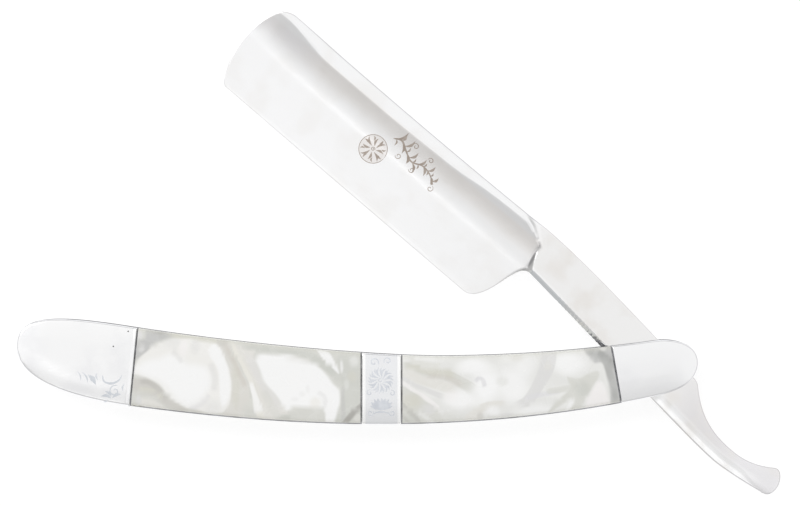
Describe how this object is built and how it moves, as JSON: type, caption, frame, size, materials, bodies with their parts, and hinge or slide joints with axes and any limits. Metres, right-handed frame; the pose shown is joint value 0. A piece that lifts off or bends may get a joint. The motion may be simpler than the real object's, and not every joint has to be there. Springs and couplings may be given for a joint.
{
  "type": "straight razor",
  "caption": "Folding straight razor: a round-toed hollow-ground blade pivots between metal-bolstered handle scales with marbled pearl-like inlays.",
  "frame": {"origin": "on the blade's pivot axis, in the plane of the back scale's flat outer face, on which the razor lies", "axes": "+Z along the pivot axis out of the front scale, -X from the pivot along the handle to its wedge end, +Y to the side of the handle on which the blade opens"},
  "size_m": [0.1738, 0.1101, 0.0109],
  "materials": {
    "blade": "mirror-polished steel",
    "bolster": "polished nickel silver",
    "liner": "fine brushed",
    "wedge": "polished",
    "pin": "polished flush",
    "washer": "plain",
    "inlay": "polished pearl swirl"
  },
  "bodies": {
    "handle": {"front_liner": "liner", "front_wedge_bolster": "bolster", "front_long_inlay": "inlay", "front_centre_band": "bolster", "front_short_inlay": "inlay", "front_pivot_bolster": "bolster", "front_band_rivet_1": "pin", "front_band_rivet_2": "pin", "front_bolster_rivet": "pin", "front_pivot_washer": "washer", "back_liner": "liner", "back_wedge_bolster": "bolster", "back_long_inlay": "inlay", "back_centre_band": "bolster", "back_short_inlay": "inlay", "back_pivot_bolster": "bolster", "back_band_rivet_1": "pin", "back_band_rivet_2": "pin", "back_bolster_rivet": "pin", "back_pivot_washer": "washer", "wedge": "wedge", "wedge_pin_1": "pin", "wedge_pin_2": "pin", "pivot_pin": "pin"},
    "blade": {"blade": "blade"}
  },
  "joints": [
    {"name": "blade_pivot", "type": "hinge", "parent": "handle", "child": "blade", "pos_m": [0, 0, 0.00545], "axis": [0, 0, -1], "range_deg": [-36, 288]}
  ]
}
